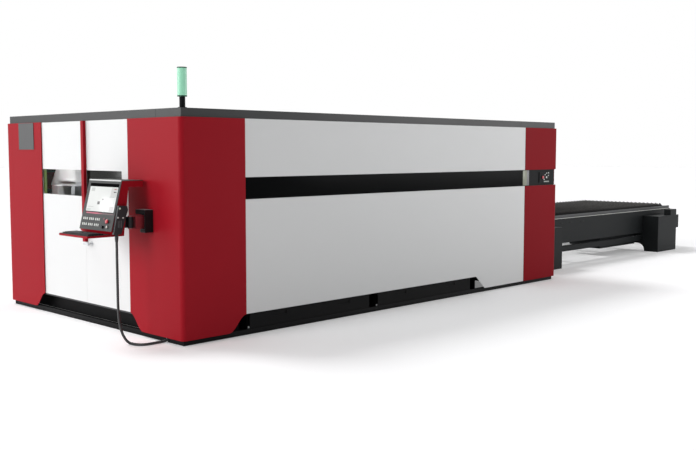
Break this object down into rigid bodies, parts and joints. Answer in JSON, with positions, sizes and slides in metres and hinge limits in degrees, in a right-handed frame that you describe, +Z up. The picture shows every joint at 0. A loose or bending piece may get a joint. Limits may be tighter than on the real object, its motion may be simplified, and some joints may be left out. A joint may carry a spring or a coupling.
{
  "type": "laser cutting machine",
  "caption": "Flat-bed laser cutting machine: closed red and white cabin with sliding doors, swinging operator console and a two-level shuttle table with serrated slats",
  "frame": {"origin": "on the floor under the middle of the whole machine's bounding box, conduit left out", "axes": "+X from the operator's end towards the exchange table, +Y from the near long side to the far one, +Z up"},
  "size_m": [11.81, 3.302, 2.457],
  "materials": {
    "red_panel": "satin powder coat",
    "crimson_arm": "gloss paint",
    "white_panel": "satin powder coat",
    "dark_glass": "dark tinted",
    "door_glass": "tinted laser safety glass",
    "dark_frame": "satin dark paint",
    "black_metal": "satin black",
    "steel": "machined",
    "slat_steel": "scaled and heat stained",
    "light_metal": "satin light paint",
    "head_metal": "anodised",
    "lamp": "translucent lens",
    "grey_face": "matte grey",
    "black_plastic": "matte black",
    "black_rubber": "ribbed conduit",
    "red_button": "gloss",
    "white_button": "gloss"
  },
  "bodies": {
    "machine": {"base_frame": "dark_frame", "levelling_feet": "steel", "cabin_frame": "dark_frame", "front_corner_near": "red_panel", "front_corner_far": "red_panel", "rear_corner_near_upper": "red_panel", "rear_corner_near_lower": "red_panel", "rear_corner_far_upper": "red_panel", "rear_corner_far_lower": "red_panel", "side_panel_near_upper": "white_panel", "side_panel_near_lower": "white_panel", "side_panel_far_upper": "white_panel", "side_panel_far_lower": "white_panel", "window_strip_near": "dark_glass", "window_strip_far": "dark_glass", "roof": "dark_frame", "rear_header": "white_panel", "rear_control_panel": "black_metal", "blank_plate": "black_metal", "signal_pole": "black_metal", "signal_lamp": "lamp", "wall_bracket": "black_metal", "cable": "black_rubber", "cable_gland": "black_metal", "bed_frame": "dark_frame", "gantry_rails": "steel", "extraction_duct": "steel", "table_frame": "dark_frame", "table_legs": "dark_frame", "drive_housing": "dark_frame"},
    "left_leaf": {"left_door": "white_panel", "left_door_glass": "door_glass", "door_trim": "red_panel"},
    "right_leaf": {"right_door": "white_panel", "right_door_glass": "door_glass"},
    "lever": {"door_handle": "head_metal"},
    "shutter": {"rear_shutter": "light_metal"},
    "rear_stop": {"rear_stop_button": "red_button"},
    "rear_white": {"rear_white_button": "white_button"},
    "arm": {"console_arm": "crimson_arm"},
    "console": {"console_knuckle": "black_metal", "console_housing": "red_panel", "console_face": "grey_face", "console_screen": "dark_glass", "console_module": "black_metal", "keyboard_tray": "red_panel", "keyboard": "black_plastic"},
    "console_stop": {"stop_button": "red_button"},
    "console_knob": {"speed_knob": "black_plastic"},
    "console_start": {"start_button": "white_button"},
    "gantry_unit": {"gantry": "light_metal"},
    "carriage": {"cross_carriage": "light_metal"},
    "head": {"cutting_head": "head_metal"},
    "drawer_front": {"slag_drawer_front": "dark_frame"},
    "drawer_rear": {"slag_drawer_rear": "dark_frame"},
    "pallet_a": {"upper_pallet": "dark_frame", "upper_slats": "slat_steel"},
    "pallet_b": {"lower_pallet": "dark_frame", "lower_slats": "slat_steel"},
    "pallet_drive": {"drive_shaft": "steel"}
  },
  "joints": [
    {"name": "left_door_slide", "type": "slide", "parent": "machine", "child": "left_leaf", "axis": [0, 1, 0], "range_m": [0, 0.665]},
    {"name": "right_door_slide", "type": "slide", "parent": "machine", "child": "right_leaf", "axis": [0, -1, 0], "range_m": [0, 0.665]},
    {"name": "lever_turn", "type": "hinge", "parent": "right_leaf", "child": "lever", "pos_m": [-5.295, -0.116, 0.808], "axis": [-1, 0, 0], "range_deg": [0, 60]},
    {"name": "shutter_lift", "type": "slide", "parent": "machine", "child": "shutter", "axis": [0, 0, -1], "range_m": [0, 0.45]},
    {"name": "rear_stop_press", "type": "slide", "parent": "machine", "child": "rear_stop", "axis": [0, 1, 0], "range_m": [0, 0.004], "stiffness_N_per_m": 800, "springref_m": -0.002},
    {"name": "rear_white_press", "type": "slide", "parent": "machine", "child": "rear_white", "axis": [0, 1, 0], "range_m": [0, 0.004], "stiffness_N_per_m": 800, "springref_m": -0.002},
    {"name": "arm_swing", "type": "hinge", "parent": "machine", "child": "arm", "pos_m": [-5.34, -1.141, 1.08], "axis": [0, 0, 1], "range_deg": [0, 36]},
    {"name": "console_swivel", "type": "hinge", "parent": "arm", "child": "console", "pos_m": [-5.485, -1.141, 1.08], "axis": [0, 0, 1], "range_deg": [0, 70]},
    {"name": "stop_press", "type": "slide", "parent": "console", "child": "console_stop", "axis": [0.9686, 0, -0.2487], "range_m": [0, 0.004], "stiffness_N_per_m": 800, "springref_m": -0.002},
    {"name": "knob_turn", "type": "hinge", "parent": "console", "child": "console_knob", "pos_m": [-5.66103, -0.97, 1.04425], "axis": [-0.9686, 0, 0.2487], "range_deg": [-135, 135]},
    {"name": "start_press", "type": "slide", "parent": "console", "child": "console_start", "axis": [0.9686, 0, -0.2487], "range_m": [0, 0.004], "stiffness_N_per_m": 800, "springref_m": -0.002},
    {"name": "gantry_travel", "type": "slide", "parent": "machine", "child": "gantry_unit", "axis": [1, 0, 0], "range_m": [0, 4.75]},
    {"name": "carriage_travel", "type": "slide", "parent": "gantry_unit", "child": "carriage", "axis": [0, 1, 0], "range_m": [-1.15, 0.33]},
    {"name": "head_lift", "type": "slide", "parent": "carriage", "child": "head", "axis": [0, 0, 1], "range_m": [-0.085, 0.06]},
    {"name": "front_drawer_slide", "type": "slide", "parent": "machine", "child": "drawer_front", "axis": [0, -1, 0], "range_m": [0, 1.5]},
    {"name": "rear_drawer_slide", "type": "slide", "parent": "machine", "child": "drawer_rear", "axis": [0, -1, 0], "range_m": [0, 1.5]},
    {"name": "upper_pallet_travel", "type": "slide", "parent": "machine", "child": "pallet_a", "axis": [-1, 0, 0], "range_m": [0, 5.8]},
    {"name": "lower_pallet_travel", "type": "slide", "parent": "machine", "child": "pallet_b", "axis": [1, 0, 0], "range_m": [0, 5.8]},
    {"name": "drive_spin", "type": "hinge", "parent": "machine", "child": "pallet_drive", "pos_m": [4.605, 0, 0.36], "axis": [0, -1, 0], "range_deg": [0, 8310]}
  ],
  "couplings": [
    {"joint": "lower_pallet_travel", "follows": "upper_pallet_travel", "ratio": 1},
    {"joint": "drive_spin", "follows": "upper_pallet_travel", "rad_per_m": 25}
  ]
}
